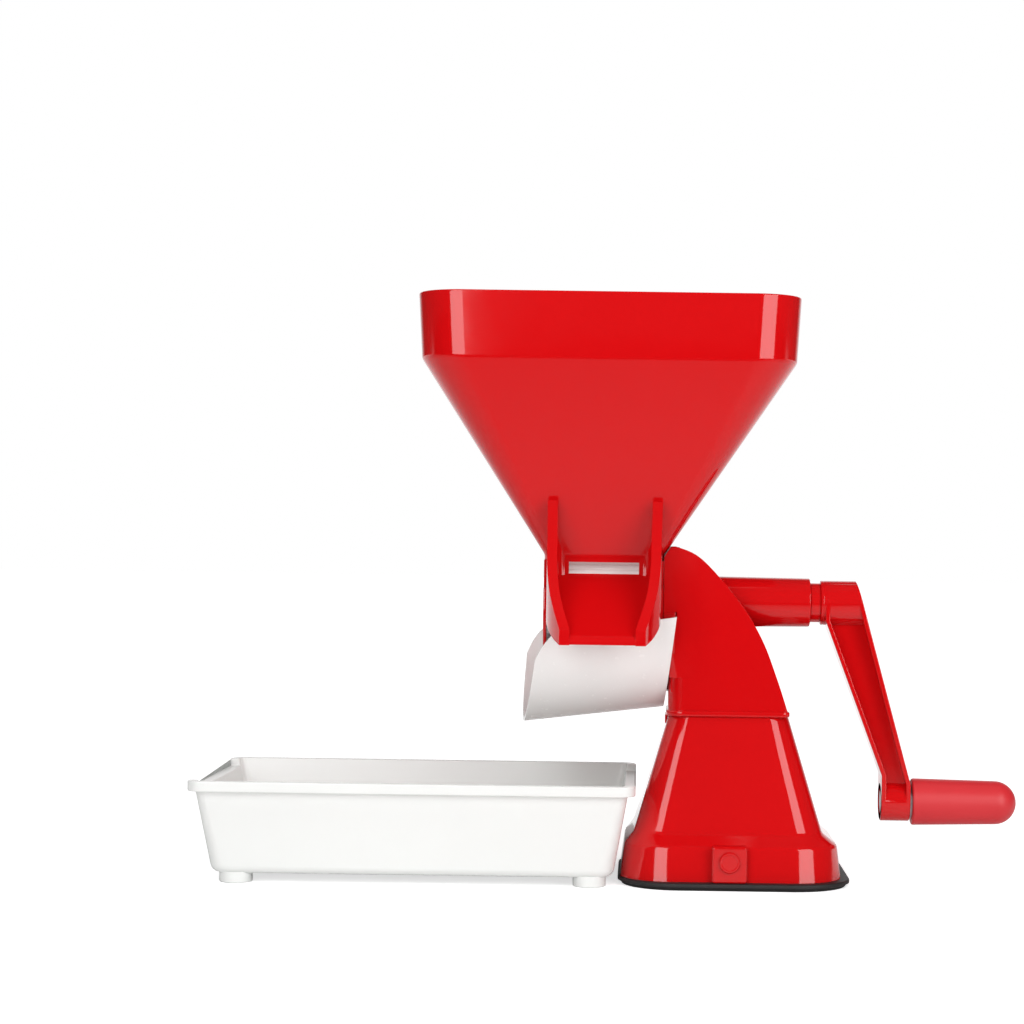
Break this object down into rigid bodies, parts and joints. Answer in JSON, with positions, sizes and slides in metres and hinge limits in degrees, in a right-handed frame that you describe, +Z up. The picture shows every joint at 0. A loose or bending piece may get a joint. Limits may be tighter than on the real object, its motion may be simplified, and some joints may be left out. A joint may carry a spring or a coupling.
{
  "type": "hand cranked tomato strainer",
  "caption": "Crank-driven strainer on a suction base: funnel, fluted drum over a steel screen, skin chute, juice apron, collecting tray and pestle.",
  "frame": {"origin": "middle of the suction pad's underside, on the table", "axes": "+X along the crank axle towards the crank, +Y to the back, away from the skin chute, +Z up"},
  "size_m": [0.4848, 0.238, 0.3426],
  "materials": {
    "red_plastic": "glossy moulded",
    "satin_red_plastic": "satin moulded",
    "white_plastic": "glossy moulded",
    "tray_plastic": "glossy moulded",
    "pestle_plastic": "semi-translucent moulded",
    "black_rubber": "matt moulded",
    "steel_sheet": "rolled sheet",
    "steel_rod": "turned and plated"
  },
  "bodies": {
    "root": {"suction_pad": "black_rubber", "pedestal": "red_plastic", "hopper": "red_plastic", "strainer_screen": "steel_sheet", "juice_apron": "white_plastic", "upper_body": "red_plastic", "body_screws": "steel_rod", "side_clip": "red_plastic", "end_bush": "white_plastic", "shaft_seal": "black_rubber", "inner_bush": "white_plastic", "outer_bush": "white_plastic"},
    "crank": {"press_drum": "white_plastic", "drive_shaft": "steel_rod", "thrust_collar": "red_plastic", "crank_arm": "red_plastic", "crank_washer": "steel_rod", "crank_screw": "steel_rod", "grip_pin": "steel_rod", "grip_clip": "steel_rod", "grip_washer": "steel_rod"},
    "handle": {"grip": "satin_red_plastic"},
    "lever": {"cam_axle": "steel_rod", "axle_cap": "red_plastic", "suction_lever": "red_plastic", "lever_pin": "steel_rod"},
    "stem": {"suction_stem": "white_plastic"},
    "collecting_tray": {"tray": "tray_plastic"},
    "pusher": {"pestle": "pestle_plastic"}
  },
  "joints": [
    {"name": "crank_turn", "type": "hinge", "parent": "root", "child": "crank", "pos_m": [0, 0, 0.1646], "axis": [1, 0, 0], "continuous": true},
    {"name": "grip_spin", "type": "hinge", "parent": "crank", "child": "handle", "pos_m": [0.14, 0, 0.0462], "axis": [1, 0, 0], "continuous": true},
    {"name": "suction_lever_turn", "type": "hinge", "parent": "root", "child": "lever", "pos_m": [0, 0.066, 0.0165], "axis": [0, -1, 0], "range_deg": [0, 150]},
    {"name": "pad_lift", "type": "slide", "parent": "root", "child": "stem", "axis": [0, 0, 1], "range_m": [0, 0.003]},
    {"name": "tray_slide", "type": "slide", "parent": "root", "child": "collecting_tray", "axis": [-1, 0, 0], "range_m": [0, 0.25]},
    {"name": "pestle_lift", "type": "slide", "parent": "root", "child": "pusher", "axis": [0, 0, 1], "range_m": [0, 0.2]}
  ],
  "couplings": [
    {"joint": "pad_lift", "follows": "suction_lever_turn", "m_per_rad": 0.00114}
  ]
}
